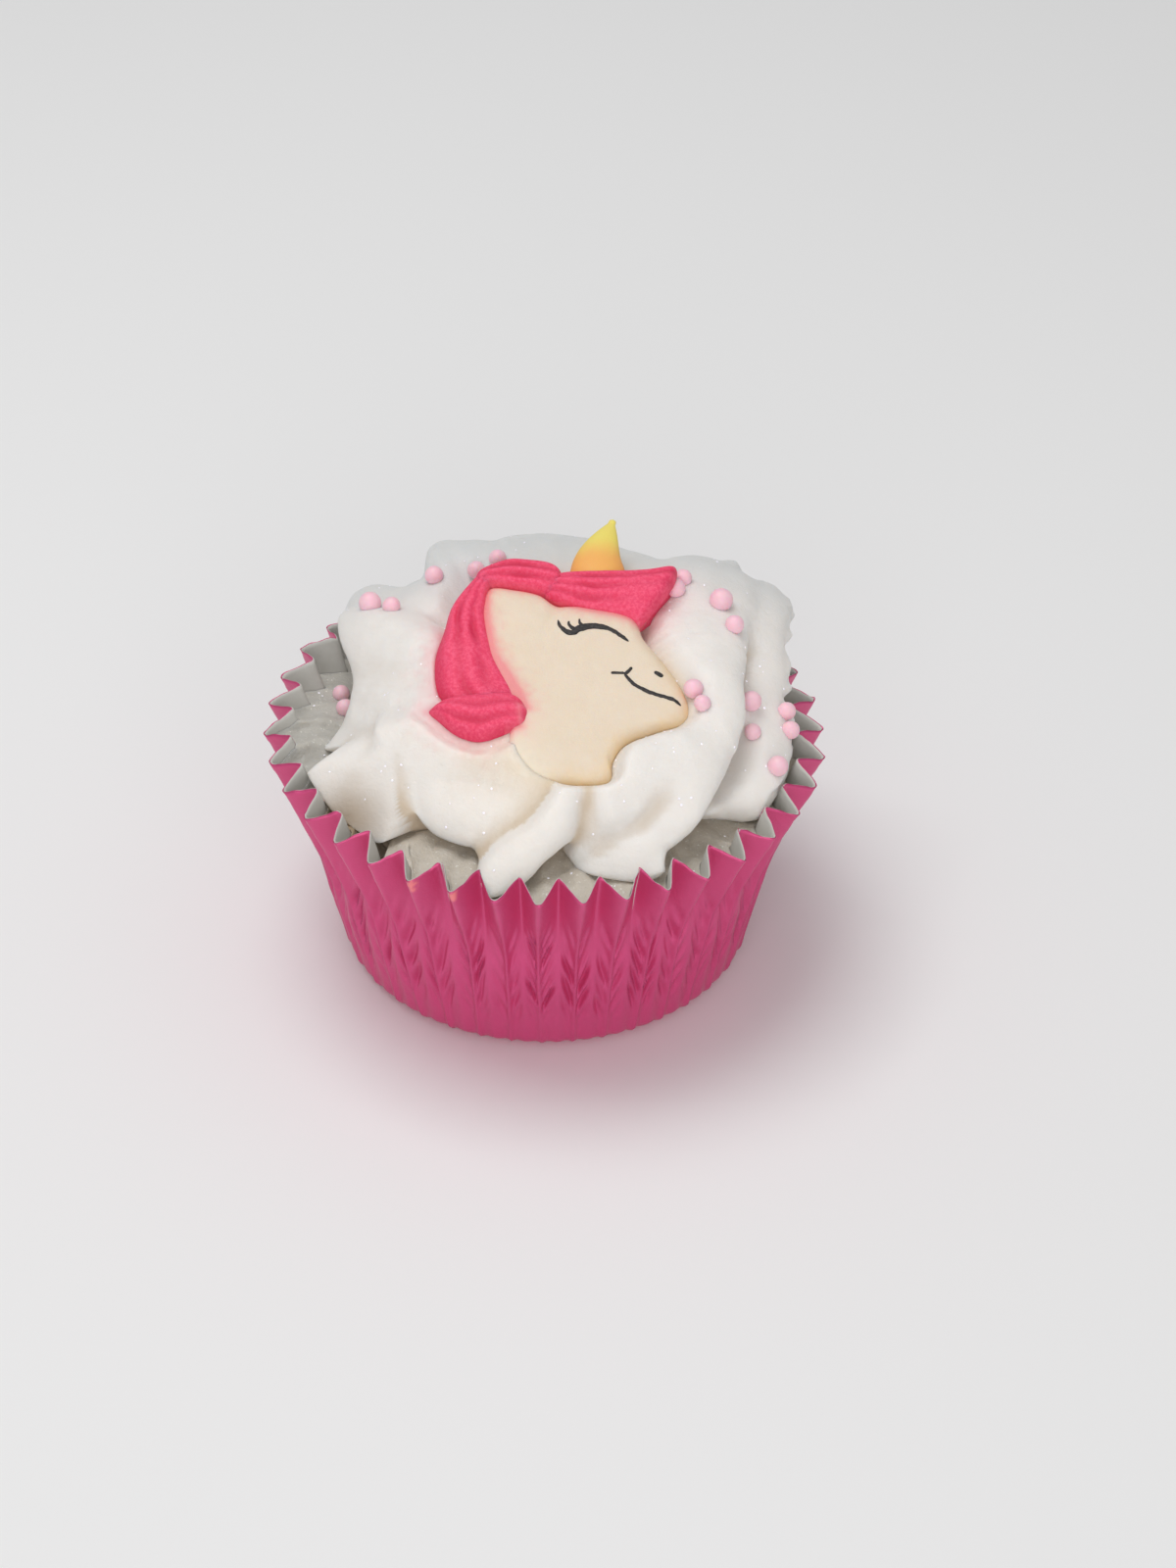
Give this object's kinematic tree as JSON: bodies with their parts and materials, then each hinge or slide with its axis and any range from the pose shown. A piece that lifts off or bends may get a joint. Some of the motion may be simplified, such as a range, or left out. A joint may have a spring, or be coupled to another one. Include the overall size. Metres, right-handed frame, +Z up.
{
  "type": "cupcake",
  "caption": "Cupcake in a pleated metallic pink case, with a swirl of white icing, sugar pearls and a cast sugar unicorn head laid in the icing.",
  "frame": {"origin": "centre of the base, on the surface the cupcake stands on", "axes": "+Z up, +X to the side the unicorn faces, -Y to the front"},
  "size_m": [0.0738, 0.074, 0.0514],
  "materials": {
    "foil_paper": "satin metallic pink outside, grey-white paper inside",
    "sponge": "open golden crumb",
    "icing": "soft translucent white",
    "cream_sugar": "fine-grained cream sugar",
    "pink_sugar": "fine-grained pink sugar",
    "yellow_sugar": "fine-grained sugar, yellow to orange"
  },
  "bodies": {
    "root": {"foil_case": "foil_paper", "sponge": "sponge", "icing": "icing", "unicorn_head": "cream_sugar", "unicorn_mane": "pink_sugar", "unicorn_horn": "yellow_sugar"}
  },
  "joints": []
}
